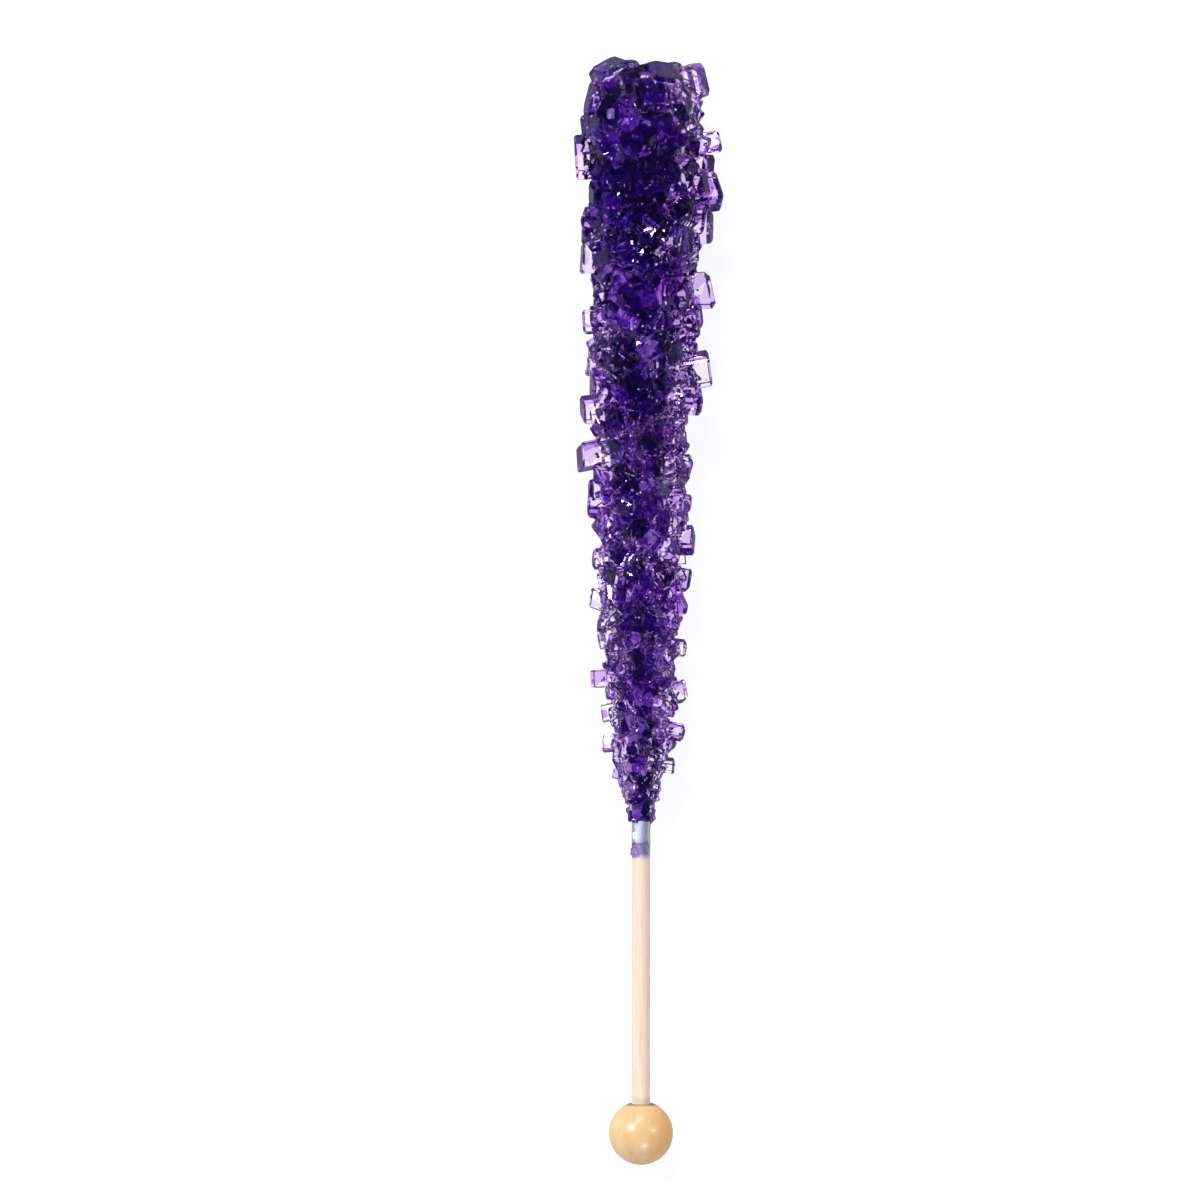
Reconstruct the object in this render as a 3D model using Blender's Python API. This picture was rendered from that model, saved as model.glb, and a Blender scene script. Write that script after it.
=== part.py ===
"""Rock candy stick: a club of grown sugar crystals on a thin wooden dowel that ends in a wooden ball.

The stick lies on a flat surface, z = 0, with its tip towards +Y. It is drawn along a local Y axis
that starts at the ball's centre, and an empty lays that axis down on its two rests, the ball and
the lowest crystals. Lengths below are in millimetres and angles in degrees.
"""

import math

import bmesh
import bpy
import numpy as np
from mathutils import Matrix, Vector

MM = 0.001

# Driving dimensions
OVERALL_LENGTH = 178.0  # ball end to candy tip
BALL_DIAMETER = 10.3
DOWEL_DIAMETER = 3.0
CANDY_LENGTH = 122.6
DOWEL_TOP_BELOW_TIP = 14.0
FIT_GAP = 0.3  # between the dowel and what it sits in
BALL_BORE_DEPTH = 6.6  # blind hole that takes the dowel's end
BALL_FLAT_DEPTH = 0.15  # what the ball loses to its flat rest
AXIS_SLOPE = 2.05  # the axis rises from the ball to the thick end of the candy
SINK_INTO_FLOOR = 0.35  # what the lowest crystals lose to their flat rests
PROUD_OF_TIP = 1.45  # how far the end crystals stand past the outline

# Outline of the candy: how far the crystals reach from the axis, by distance below the tip
REACH = ((0.0, 9.0), (16.0, 10.3), (30.0, 9.8), (46.0, 9.1), (62.0, 8.5), (76.0, 8.0), (90.0, 7.3),
         (104.0, 6.1), (113.0, 5.0), (118.0, 3.6), (122.6, 2.4))
TIP_ROUNDING = 10.0
TIP_BLUNTNESS = 3.0
HEAD_SHIFT = 1.1  # the thick end has grown more on its +X side
HEAD_SHIFT_LENGTH = 60.0

# Crystals: edge length at the tip and at the tail, how close they sit and how unevenly
CRYSTAL_AT_TIP = 5.9
CRYSTAL_AT_TAIL = 2.4
CRYSTAL_TAPER = 0.9
ROW_SPACING = 1.12
CRYSTAL_SPACING = 1.38
LEAN_MOST = 40.0
CRYSTAL_SEED = 11

# The largest crystals of each side and, last, the four that the stick rests on: distance below
# the tip, angle round the axis (0 is +X, 90 is up), reach of the outermost corner, edge length
STANDOUTS = (
    (4.4, 14, 11.0, 6.2), (12.6, 2, 13.0, 2.8), (20.8, -6, 13.1, 5.4), (26.6, 12, 11.6, 4.6),
    (36.4, 0, 12.0, 5.6), (41.2, 16, 10.3, 4.0), (49.3, 2, 11.5, 4.8), (53.8, -8, 9.8, 4.2),
    (74.0, 6, 8.6, 3.8), (14.8, 178, 10.8, 5.2), (27.0, 186, 9.7, 4.4), (41.2, 176, 9.6, 4.2),
    (55.2, 182, 9.9, 4.6), (62.6, 174, 10.3, 4.2), (86.2, 180, 8.4, 3.4), (98.0, 184, 8.0, 3.4),
    (20.0, -52, 13.2, 5.4), (27.0, -122, 12.8, 5.2), (50.0, -50, 12.6, 5.2), (58.0, -118, 11.4, 4.6),
)

CORE_SHARE = 0.78  # of the crystals' reach
CORE_WALL = 0.5  # least thickness over the dowel's bore
CORE_RINGS = 26
CORE_SIDES = 18
DOWEL_SIDES = 24
BALL_SIDES = 28
BALL_RINGS = 15
SHARP_ANGLE = 35.0

BALL_RADIUS = BALL_DIAMETER / 2
AXIS_HEIGHT = BALL_RADIUS - BALL_FLAT_DEPTH  # of the ball's centre over the floor
DOWEL_RADIUS = DOWEL_DIAMETER / 2
BORE_RADIUS = DOWEL_RADIUS + FIT_GAP
TIP_Y = OVERALL_LENGTH - BALL_RADIUS - PROUD_OF_TIP
TAIL_Y = TIP_Y - CANDY_LENGTH
DOWEL_TOP_Y = TIP_Y - DOWEL_TOP_BELOW_TIP
DOWEL_FOOT_Y = BALL_RADIUS - BALL_BORE_DEPTH + FIT_GAP


def clear_scene():
    for old in list(bpy.data.objects):
        bpy.data.objects.remove(old, do_unlink=True)


def material(name, colour, roughness, metallic=0.0):
    made = bpy.data.materials.new(name)
    made.use_nodes = True
    shader = made.node_tree.nodes["Principled BSDF"]
    shader.inputs["Base Color"].default_value = (*colour, 1.0)
    shader.inputs["Roughness"].default_value = roughness
    shader.inputs["Metallic"].default_value = metallic
    return made


def add_object(name, points, faces, finish=None):
    """One object from points in millimetres, with its normals made to point out."""
    mesh = bpy.data.meshes.new(name)
    mesh.from_pydata((np.asarray(points) * MM).tolist(), [], faces)
    form = bmesh.new()
    form.from_mesh(mesh)
    bmesh.ops.recalc_face_normals(form, faces=form.faces)
    form.to_mesh(mesh)
    form.free()
    if finish:
        mesh.materials.append(finish)
    made = bpy.data.objects.new(name, mesh)
    bpy.context.scene.collection.objects.link(made)
    return made


def add_boolean(target, operation, other):
    """A live Boolean on the target, whose other object is a helper and not a part."""
    change = target.modifiers.new(other.name, "BOOLEAN")
    change.operation = operation
    change.object = other
    change.solver = "EXACT"
    other.hide_render = True
    other.display_type = "WIRE"
    return change


def turned(profile, sides):
    """Points and faces of a (radius, y) profile turned about Y. Its two end points lie on the axis."""
    angles = np.arange(sides) * 2 * math.pi / sides
    points = [[0, profile[0][1], 0]]
    for radius, y in profile[1:-1]:
        points += [[radius * math.cos(a), y, radius * math.sin(a)] for a in angles]
    points += [[0, profile[-1][1], 0]]
    last = len(points) - 1
    bands = len(profile) - 3

    def at(ring, i):
        return 1 + ring * sides + i % sides

    faces = [[0, at(0, i + 1), at(0, i)] for i in range(sides)]
    for low in range(bands):
        faces += [[at(low, i), at(low, i + 1), at(low + 1, i + 1), at(low + 1, i)] for i in range(sides)]
    faces += [[last, at(bands, i), at(bands, i + 1)] for i in range(sides)]
    return points, faces


def rod(radius, low_y, high_y, sides=DOWEL_SIDES):
    return turned([(0, low_y), (radius, low_y), (radius, high_y), (0, high_y)], sides)


def box(low, high):
    """Points and faces of a box between two corners."""
    points = [[x, y, z] for x in (low[0], high[0]) for y in (low[1], high[1]) for z in (low[2], high[2])]
    return points, block_faces(0)


def block_faces(first):
    """The six faces of a block whose eight corners are counted z first, then y, then x."""
    quads = ((0, 1, 3, 2), (4, 6, 7, 5), (0, 4, 5, 1), (2, 3, 7, 6), (0, 2, 6, 4), (1, 5, 7, 3))
    return [[first + i for i in quad] for quad in quads]


def smooth_interp(x, pairs):
    """A curve through (x, value) pairs: cubic between neighbours, with slopes shared at each pair."""
    xs, values = np.array(pairs).T
    slopes = np.gradient(values, xs)
    k = np.clip(np.searchsorted(xs, x) - 1, 0, len(xs) - 2)
    width = xs[k + 1] - xs[k]
    t = np.clip((x - xs[k]) / width, 0, 1)
    blend = 3 * t**2 - 2 * t**3
    ends = values[k] * (1 - blend) + values[k + 1] * blend
    return ends + width * (slopes[k] * (t**3 - 2 * t**2 + t) + slopes[k + 1] * (t**3 - t**2))


def reach(below_tip):
    """How far the crystals reach from the axis: the outline, rounded over at the tip."""
    left = np.clip(1 - below_tip / TIP_ROUNDING, 0, 1)
    return smooth_interp(below_tip, REACH) * (1 - left**TIP_BLUNTNESS) ** (1 / TIP_BLUNTNESS)


def head_shift(below_tip):
    """How far the candy's middle stands off the dowel, towards +X."""
    t = np.clip(1 - below_tip / HEAD_SHIFT_LENGTH, 0, 1)
    return HEAD_SHIFT * (3 * t**2 - 2 * t**3)


def crystal_size(below_tip):
    share = np.clip(below_tip / CANDY_LENGTH, 0, 1) ** CRYSTAL_TAPER
    return CRYSTAL_AT_TIP + (CRYSTAL_AT_TAIL - CRYSTAL_AT_TIP) * share


def crystal_seats(rng):
    """One line per crystal: distance below the tip, radius, angle, slope of the outline, and size.

    Rows step down the outline by the local crystal size, and each row is dealt round the stick.
    """
    below = CANDY_LENGTH * np.linspace(0, 1, 1201) ** 2
    radius = reach(below)
    slope = np.arctan2(np.gradient(below), np.gradient(radius))
    run = np.concatenate([[0], np.cumsum(np.hypot(np.diff(radius), np.diff(below)))])
    rows = []
    at = 0.0
    while at < run[-1]:
        middle, around, lean = (np.interp(at, run, line) for line in (below, radius, slope))
        size = crystal_size(middle)
        count = max(1, round(2 * math.pi * around / (size * CRYSTAL_SPACING)))
        turns = (np.arange(count) + rng.uniform(-0.3, 0.3, count)) / count + rng.uniform(0, 1)
        step = rng.uniform(-0.35, 0.35, count) * size * math.sin(lean)
        sizes = size * rng.uniform(0.75, 1.2, count)
        same = np.ones(count)
        rows.append([middle + step, around * same, 2 * math.pi * turns, lean * same, sizes])
        at += size * ROW_SPACING
    return np.concatenate(rows, axis=1)


def crystal_block(rng, outward, size, lean_most):
    """Corners of one slanted block about its middle, leaning at random from the outward direction."""
    axis_angle = rng.uniform(0, 2 * math.pi)
    lean_axis = Vector((math.cos(axis_angle), math.sin(axis_angle), 0))
    lean = Matrix.Rotation(math.radians(rng.uniform(0, lean_most)), 3, lean_axis)
    spin = Matrix.Rotation(rng.uniform(0, 2 * math.pi), 3, "Z")
    turn = outward.to_track_quat("Z", "Y").to_matrix() @ lean @ spin
    sides = size * np.array([rng.uniform(0.85, 1.2), rng.uniform(0.75, 1.05), rng.uniform(1.1, 1.45)])
    corners = np.array([[x, y, z] for x in (-0.5, 0.5) for y in (-0.5, 0.5) for z in (-0.5, 0.5)]) * sides
    corners[:, 0] += corners[:, 2] * rng.uniform(-0.22, 0.22)
    return corners @ np.array(turn).T


def clear_of_floor(corners):
    """A block that dips too far into the floor is lifted. Heights are worked out from the sloping axis."""
    slope = math.radians(AXIS_SLOPE)
    height = AXIS_HEIGHT + corners[:, 1] * math.sin(slope) + corners[:, 2] * math.cos(slope)
    lift = max(0.0, -SINK_INTO_FLOOR - height.min())
    return corners + [0, 0, lift / math.cos(slope)]


def crystal_blocks():
    """All the blocks' corners, eight for each: the even cover of crystals, then the standouts."""
    rng = np.random.default_rng(CRYSTAL_SEED)
    blocks = []
    for below, radius, angle, lean, size in crystal_seats(rng).T:
        c, s = math.cos(angle), math.sin(angle)
        outward = Vector((c * math.sin(lean), math.cos(lean), s * math.sin(lean)))
        corners = crystal_block(rng, outward, size, LEAN_MOST)
        seat = np.array([head_shift(below) + radius * c, TIP_Y - below, radius * s])
        depth = (corners @ np.array(outward)).max() - rng.uniform(-0.12, 0.22) * size
        blocks.append(clear_of_floor(corners + seat - np.array(outward) * depth))
    for below, degrees, corner_reach, size in STANDOUTS:
        angle = math.radians(degrees)
        outward = Vector((math.cos(angle), 0, math.sin(angle)))
        corners = crystal_block(rng, outward, size, LEAN_MOST / 2)
        depth = corner_reach - (corners @ np.array(outward)).max()
        blocks.append(clear_of_floor(corners + np.array(outward) * depth + [0, TIP_Y - below, 0]))
    return blocks


def add_candy(finish):
    """The solid middle, with the crystals grown on to it, the dowel's bore and flat rests underneath."""
    steps = (1 - np.cos(np.linspace(0, math.pi, CORE_RINGS))) / 2
    below = 1.5 + (CANDY_LENGTH - 2.0) * steps
    radius = np.maximum(CORE_SHARE * reach(below), BORE_RADIUS + CORE_WALL)
    profile = [(r, TIP_Y - b) for r, b in zip(radius, below)]
    points, faces = turned([(0, profile[0][1])] + profile + [(0, profile[-1][1])], CORE_SIDES)
    points = np.array(points)
    points[:, 0] += head_shift(TIP_Y - points[:, 1])
    candy = add_object("candy", points, faces, finish)

    blocks = crystal_blocks()
    faces = [face for k in range(len(blocks)) for face in block_faces(8 * k)]
    crystals = add_object("crystal_blocks", np.concatenate(blocks), faces)
    add_boolean(candy, "UNION", crystals).use_self = True
    bore = add_object("dowel_bore", *rod(BORE_RADIUS, TAIL_Y - 5, DOWEL_TOP_Y + FIT_GAP))
    add_boolean(candy, "DIFFERENCE", bore)
    return candy, [crystals, bore]


def add_ball(finish):
    arc = np.linspace(0, math.pi, BALL_RINGS)
    profile = [(BALL_RADIUS * math.sin(a), -BALL_RADIUS * math.cos(a)) for a in arc]
    ball = add_object("ball", *turned(profile, BALL_SIDES), finish)
    bore = add_object("ball_bore", *rod(BORE_RADIUS, BALL_RADIUS - BALL_BORE_DEPTH, BALL_RADIUS + 1))
    add_boolean(ball, "DIFFERENCE", bore)
    return ball, [bore]


def add_floor():
    """What is below z = 0, taken off the pieces that rest there."""
    return add_object("floor_cutter", *box((-40, -240, -20), (40, 240, 0)))


def lay_down(pieces):
    """Hangs the pieces on an empty at the ball's centre, tips its axis up and centres the whole."""
    root = bpy.data.objects.new("stick_axis", None)
    bpy.context.scene.collection.objects.link(root)
    root.rotation_euler.x = math.radians(AXIS_SLOPE)
    root.location.z = AXIS_HEIGHT * MM
    for piece in pieces:
        piece.parent = root
    bpy.context.view_layer.update()
    graph = bpy.context.evaluated_depsgraph_get()
    seen = [piece.evaluated_get(graph) for piece in pieces if not piece.hide_render]
    corners = np.array([piece.matrix_world @ v.co for piece in seen for v in piece.data.vertices])
    middle = (corners.min(axis=0) + corners.max(axis=0)) / 2
    root.location.x = -middle[0]
    root.location.y = -middle[1]


def add_dowel(finish):
    return add_object("dowel", *rod(DOWEL_RADIUS, DOWEL_FOOT_Y, DOWEL_TOP_Y), finish)


def shade_round(piece):
    piece.data.shade_smooth()
    piece.data.set_sharp_from_angle(angle=math.radians(SHARP_ANGLE))


def main():
    clear_scene()
    candy, candy_cutters = add_candy(material("sugar_crystal", (0.12, 0.01, 0.30), 0.08))
    dowel = add_dowel(material("bare_wood", (0.85, 0.68, 0.52), 0.65))
    ball, ball_cutters = add_ball(material("lacquered_wood", (0.86, 0.58, 0.30), 0.3))
    shade_round(dowel)
    shade_round(ball)
    floor = add_floor()
    add_boolean(candy, "DIFFERENCE", floor)
    add_boolean(ball, "DIFFERENCE", floor)
    lay_down([candy, dowel, ball] + candy_cutters + ball_cutters)


if __name__ == "__main__":
    main()
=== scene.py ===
import math
import time

import bpy
import numpy as np
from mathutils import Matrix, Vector


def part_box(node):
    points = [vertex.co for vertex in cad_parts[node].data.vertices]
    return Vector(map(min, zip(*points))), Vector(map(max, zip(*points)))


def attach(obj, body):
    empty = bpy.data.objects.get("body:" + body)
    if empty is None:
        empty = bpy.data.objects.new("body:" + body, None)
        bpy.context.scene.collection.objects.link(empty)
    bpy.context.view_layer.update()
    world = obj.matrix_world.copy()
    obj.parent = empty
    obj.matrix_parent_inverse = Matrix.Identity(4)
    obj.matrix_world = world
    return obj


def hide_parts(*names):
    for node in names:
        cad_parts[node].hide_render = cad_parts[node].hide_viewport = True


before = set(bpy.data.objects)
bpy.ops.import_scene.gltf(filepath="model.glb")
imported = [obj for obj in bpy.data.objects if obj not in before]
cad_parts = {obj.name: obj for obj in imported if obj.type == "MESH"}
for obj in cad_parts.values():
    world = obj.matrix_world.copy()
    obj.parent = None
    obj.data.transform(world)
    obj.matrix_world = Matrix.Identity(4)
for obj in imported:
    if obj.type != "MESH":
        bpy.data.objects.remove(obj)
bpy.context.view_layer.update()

# Rock candy stick: purple sugar crystals grown on a birch dowel with a lacquered ball at its end.
# Lengths are in millimetres until a mesh is made. The stick is worked out along a local Y axis that
# starts at the ball's centre, with Z up through the shown side, then laid down on its slope.

mm = 0.001
scene = bpy.context.scene
startedAt = time.time()


def say(stage):
    # A stage's name after the seconds since the start
    print(f"[{time.time() - startedAt:5.1f} s] {stage}", flush=True)


# Where the stick lies, read from the frame

stick = {
    "slope": 2.05,  # degrees that the axis rises from the ball to the thick end
    "proudOfTip": 1.0,  # how far the end crystals stand past the outline
    "candyLength": 121.8,
    "dowelTopBelowTip": 14.0,
}
ballLow, ballHigh = (np.array(corner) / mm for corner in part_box("ball"))
candyLow, candyHigh = (np.array(corner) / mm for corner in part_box("candy"))
dowelLow, dowelHigh = (np.array(corner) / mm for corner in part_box("dowel"))
slope = math.radians(stick["slope"])
ballRadius = (ballHigh[0] - ballLow[0]) / 2
dowelRadius = (dowelHigh[0] - dowelLow[0]) / 2
ballMiddle = (ballLow[0] + ballHigh[0]) / 2
ballCentre = np.array([ballMiddle, ballLow[1] + ballRadius, ballHigh[2] - ballRadius])
tipY = candyHigh[1] - ballCentre[1] - stick["proudOfTip"]
tailY = tipY - stick["candyLength"]


def laidDown(points):
    # Turned about X by the slope, then moved so that the local origin is the ball's centre
    x, y, z = points[..., 0], points[..., 1], points[..., 2]
    turned = [x, y * math.cos(slope) - z * math.sin(slope), y * math.sin(slope) + z * math.cos(slope)]
    return np.stack(turned, axis=-1) + ballCentre


def linked(name, data):
    # An object that holds the data, put into the scene
    made = bpy.data.objects.new(name, data)
    scene.collection.objects.link(made)
    return made


def placedPiece(name, placed, faces, material, smooth=False):
    # A mesh in metres made from points already in the frame, with its object left at the origin
    mesh = bpy.data.meshes.new(name)
    placed[..., 2] = np.maximum(placed[..., 2], 0.0)  # nothing dips into the floor
    mesh.from_pydata((placed * mm).tolist(), [], faces)
    mesh.update()
    if smooth:
        mesh.shade_smooth()
    piece = linked(name, mesh)
    if material:
        mesh.materials.append(material)
        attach(piece, "root")
    return piece


def newPiece(name, points, faces, material, slot, smooth=False):
    # The same from local points, which are laid down first
    return placedPiece(name, laidDown(np.asarray(points, float)), faces, material, smooth)


# Node helpers for the finishes


def plug(tree, socket, value):
    # A socket is joined to another, or set to a plain value
    if isinstance(value, bpy.types.NodeSocket):
        tree.links.new(value, socket)
    else:
        socket.default_value = value


def addNode(tree, kind, inputs, **settings):
    # A node of a kind, with its inputs by name or number and its settings by name
    made = tree.nodes.new(kind)
    for name, value in settings.items():
        setattr(made, name, value)
    for name, value in inputs.items():
        plug(tree, made.inputs[name], value)
    return made


def newFinish(name, inputs):
    # A new material, its tree, and its shader with the inputs set
    made = bpy.data.materials.new(name)
    made.use_nodes = True
    shader = made.node_tree.nodes["Principled BSDF"]
    for socket, value in inputs.items():
        shader.inputs[socket].default_value = value
    return made, made.node_tree, shader


def objectPlace(tree, stretch=(1, 1, 1)):
    # The piece's own coordinates in metres, stretched along each axis
    place = addNode(tree, "ShaderNodeTexCoord", {}).outputs["Object"]
    return addNode(tree, "ShaderNodeMapping", {"Vector": place, "Scale": stretch}).outputs["Vector"]


def colourRamp(tree, factor, stops):
    # The factor read through (place, colour) stops, the lowest first
    made = addNode(tree, "ShaderNodeValToRGB", {"Fac": factor})
    elements = made.color_ramp.elements
    for element, (at, colour) in zip(elements, (stops[0], stops[-1])):
        element.position, element.color = at, (*colour, 1)
    for at, colour in stops[1:-1]:
        elements.new(at).color = (*colour, 1)
    return made.outputs["Color"]


def mixed(tree, factor, first, second, how="MIX"):
    # The first colour turned towards the second by the factor
    blend = addNode(tree, "ShaderNodeMix", {}, data_type="RGBA", blend_type=how)
    for index, value in ((0, factor), (6, first), (7, second)):
        plug(tree, blend.inputs[index], value)
    return blend.outputs[2]


def bumped(tree, shader, height, strength, distance):
    # The surface made to look raised where the height is great
    made = addNode(tree, "ShaderNodeBump", {
        "Height": height, "Strength": strength, "Distance": distance,
    })
    tree.links.new(made.outputs["Normal"], shader.inputs["Normal"])


# Outline of the candy

outline = {
    "reach": (  # from the axis, by distance below the tip
        (0.0, 9.2), (16.0, 10.3), (30.0, 9.5), (46.0, 8.7), (62.0, 8.1), (76.0, 7.5),
        (90.0, 6.7), (104.0, 5.6), (110.0, 4.8), (116.0, 3.3), (119.0, 2.1), (121.8, 1.6),
    ),
    "tipRounding": 8.0,
    "tipBluntness": 3.5,
    "headShift": 1.1,  # the thick end has grown more on its +X side
    "headShiftLength": 60.0,
    "steps": 1201,  # points at which its curve is measured
}


def smoothInterp(x, pairs):
    # A curve through (x, value) pairs: a cubic between neighbours, with slopes shared at each pair
    xs, values = np.array(pairs).T
    slopes = np.gradient(values, xs)
    k = np.clip(np.searchsorted(xs, x) - 1, 0, len(xs) - 2)
    width = xs[k + 1] - xs[k]
    t = np.clip((x - xs[k]) / width, 0, 1)
    blend = 3 * t**2 - 2 * t**3
    ends = values[k] * (1 - blend) + values[k + 1] * blend
    return ends + width * (slopes[k] * (t**3 - 2 * t**2 + t) + slopes[k + 1] * (t**3 - t**2))


def reach(below):
    # The outline's curve, rounded over at the tip by a superellipse
    left = np.clip(1 - below / outline["tipRounding"], 0, 1)
    bluntness = outline["tipBluntness"]
    return smoothInterp(below, outline["reach"]) * (1 - left**bluntness) ** (1 / bluntness)


def headShift(below):
    # How far the candy's middle lies off the axis: eased from nothing to the whole shift at the tip
    t = np.clip(1 - below / outline["headShiftLength"], 0, 1)
    return outline["headShift"] * (3 * t**2 - 2 * t**3)


# Crystals

block = {
    "sides": ((0.85, 0.78, 1.1), (1.2, 1.05, 1.45)),  # least and most of each side, in sizes
    "cut": (0.05, 0.13),  # the cut along every edge
    "slant": 0.2,
    "sizeSpread": (0.75, 1.2),
    "dealSpread": 0.3,  # how far a seat strays round its row
    "stepSpread": 0.35,  # and along the stick
    "taper": 0.9,  # the power by which sizes fall from the tip to the tail
    "apart": 0.01,  # least gap between crystals that are joined on at once
}

# Kinds of crystal: atTip and atTail are sizes, row and gap are spacings in sizes, lean is in degrees,
# sunk is the depth range in sizes, and inset is taken off the outline

large = {"atTip": 5.9, "atTail": 2.4, "row": 1.12, "gap": 1.38, "lean": 40.0, "seed": 11,
         "sunk": (-0.3, 0.25), "inset": 0.0}
medium = {"atTip": 3.6, "atTail": 1.5, "row": 1.12, "gap": 1.32, "lean": 60.0, "seed": 12,
          "sunk": (-0.3, 0.4), "inset": 0.6}
small = {"atTip": 1.9, "atTail": 0.9, "row": 1.6, "gap": 1.8, "lean": 80.0, "seed": 13,
         "sunk": (-0.6, 0.3), "inset": 1.1}
deep = {"atTip": 2.6, "atTail": 1.3, "row": 0.9, "gap": 1.0, "lean": 80.0, "seed": 15,
        "sunk": (-0.2, 0.2), "inset": 0.0}

unlit = {  # the part of the candy that light doesn't reach, filled with opaque dark blocks as painted shade
    "shift": -0.7,  # times the shift of the thick end
    # distance below the tip, share of the outline
    "share": ((0.0, 0.5), (9.0, 0.74), (24.0, 0.75), (38.0, 0.59), (56.0, 0.52), (121.8, 0.49)),
}
tailFringe = {
    "count": 90,
    "turn": 0.382,  # of a full turn, from one crystal to the next
    "stray": 0.4,
    "size": (0.6, 1.1),
    "lean": 70.0,
    "low": 0.5,  # above the candy's lower end
    "length": 5.0,
    "flare": 1.1,  # how far it opens from the dowel, by this power of the height
    "flarePower": 1.5,
    "seed": 16,
}
standouts = {
    "lean": 20.0,
    "seed": 21,
    "right": (  # distance below the tip, degrees round from +X, reach from the axis, size
        (3.3, 14, 11.0, 5.6), (12.6, 2, 13.0, 2.8), (20.8, -6, 13.1, 5.4), (26.6, 12, 11.6, 4.6),
        (36.4, 0, 12.0, 5.6), (41.2, 16, 10.3, 4.0), (49.3, 2, 11.5, 4.8), (53.8, -8, 9.8, 4.2),
        (64.6, 4, 8.4, 3.4), (70.4, -8, 8.5, 3.4), (76.4, 6, 8.6, 3.6), (82.6, -4, 8.2, 3.2),
        (87.2, 12, 7.7, 2.8), (93.6, 4, 7.3, 2.8), (101.0, -6, 7.5, 3.0), (107.0, 8, 7.1, 2.7),
        (112.6, -4, 5.4, 2.2),
    ),
    "left": (
        (14.8, 178, 10.8, 5.2), (27.0, 186, 9.7, 4.4), (41.2, 176, 9.6, 4.2), (48.6, 186, 8.9, 3.4),
        (55.2, 182, 9.9, 4.6), (62.6, 174, 10.3, 4.2), (71.0, 184, 8.6, 3.2), (79.4, 176, 7.9, 2.8),
        (86.2, 180, 8.4, 3.4), (92.4, 188, 7.2, 2.6), (98.6, 184, 8.1, 3.4), (104.0, 174, 6.6, 2.4),
        (109.0, 180, 6.2, 2.4), (114.2, 186, 4.8, 1.9),
    ),
    "under": (
        (20.0, -52, 13.2, 5.4), (27.0, -122, 12.8, 5.2), (50.0, -50, 12.6, 5.2),
        (58.0, -118, 11.4, 4.6),
    ),
}
standoutBlocks = np.array(standouts["right"] + standouts["left"] + standouts["under"])

hearts = {
    "clear": (0.78, 1.85, 0.3),  # share of the outline, least radius, how far it ends short of the tail
    "deep": (0.9, 1.75, 0.5),
    "top": 1.5,  # below the tip
    "neck": 0.02,  # wider than the dowel at the lower end
    "sides": 18,
    "rings": 26,
}

# A crystal's outline as signs of its half sides, and which of the two each cut shortens; then its
# rings along the long axis, by the end that they are at, and whether they are drawn in by the cut

outlineSigns = np.array([[1, -1], [1, 1], [1, 1], [-1, 1], [-1, 1], [-1, -1], [-1, -1], [1, -1]], float)
outlineCuts = np.array([[0, 1], [0, 1], [1, 0], [1, 0], [0, 1], [0, 1], [1, 0], [1, 0]], float)
ringHeights = np.array([-1, -1, 1, 1], float)
ringInsets = np.array([1, 0, 0, 1], float)
ringSides, ringCount = len(outlineSigns), len(ringHeights)
crystalCorners = ringSides * ringCount


def deepReach(below):
    # The unlit depth: a share of the outline that is widest in the thick end
    return reach(below) * np.interp(below, *np.array(unlit["share"]).T)


def crystalSeats(rng, kind, outlineOf):
    # Rows step down the outline by the local size, and each row is dealt evenly round the stick
    below = stick["candyLength"] * np.linspace(0, 1, outline["steps"]) ** 2
    radius = np.maximum(outlineOf(below) - kind["inset"], 0)
    slopeOf = np.arctan2(np.gradient(below), np.gradient(reach(below)))
    run = np.concatenate([[0], np.cumsum(np.hypot(np.diff(radius), np.diff(below)))])
    rows, at = [], 0.0
    while at < run[-1]:
        middle, around, lean = (np.interp(at, run, line) for line in (below, radius, slopeOf))
        fallen = (middle / stick["candyLength"]) ** block["taper"]
        size = kind["atTip"] + (kind["atTail"] - kind["atTip"]) * fallen
        count = max(1, round(2 * math.pi * around / (size * kind["gap"])))
        stray = rng.uniform(-block["dealSpread"], block["dealSpread"], count)
        turns = (np.arange(count) + stray) / count + rng.uniform(0, 1)
        step = rng.uniform(-block["stepSpread"], block["stepSpread"], count) * size * math.sin(lean)
        sizes = size * rng.uniform(*block["sizeSpread"], count)
        same = np.ones(count)
        rows.append([middle + step, around * same, 2 * math.pi * turns, lean * same, sizes])
        at += size * kind["row"]
    return np.concatenate(rows, axis=1)


def crystalShapes(rng, sizes):
    # A slanted block with cut edges: an eight-cornered outline in four rings, drawn in at both ends
    n = len(sizes)
    half = sizes[:, None] * rng.uniform(*block["sides"], (n, 3)) / 2
    cut = sizes * rng.uniform(*block["cut"], n)
    slant = rng.uniform(-block["slant"], block["slant"], n)
    points = np.empty((n, ringCount, ringSides, 3))
    for axis in (0, 1):
        side = half[:, axis, None, None] - outlineCuts[None, None, :, axis] * cut[:, None, None]
        drawnIn = ringInsets[None, :, None] * cut[:, None, None]
        points[..., axis] = outlineSigns[None, None, :, axis] * (side - drawnIn)
    z = ringHeights[None, :] * (half[:, 2, None] - (1 - ringInsets)[None, :] * cut[:, None])
    points[..., 2] = z[:, :, None]
    points[..., 0] += points[..., 2] * slant[:, None, None]
    return points.reshape(n, crystalCorners, 3)


def unit(v):
    # Each vector divided by its own length
    return v / np.linalg.norm(v, axis=-1, keepdims=True)


def axesAround(w):
    # Two unit vectors at right angles to each w and to each other
    helper = np.where(np.abs(w[:, 1:2]) < 0.9, [[0.0, 1.0, 0.0]], [[1.0, 0.0, 0.0]])
    u = unit(np.cross(helper, w))
    return u, np.cross(w, u)


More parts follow.
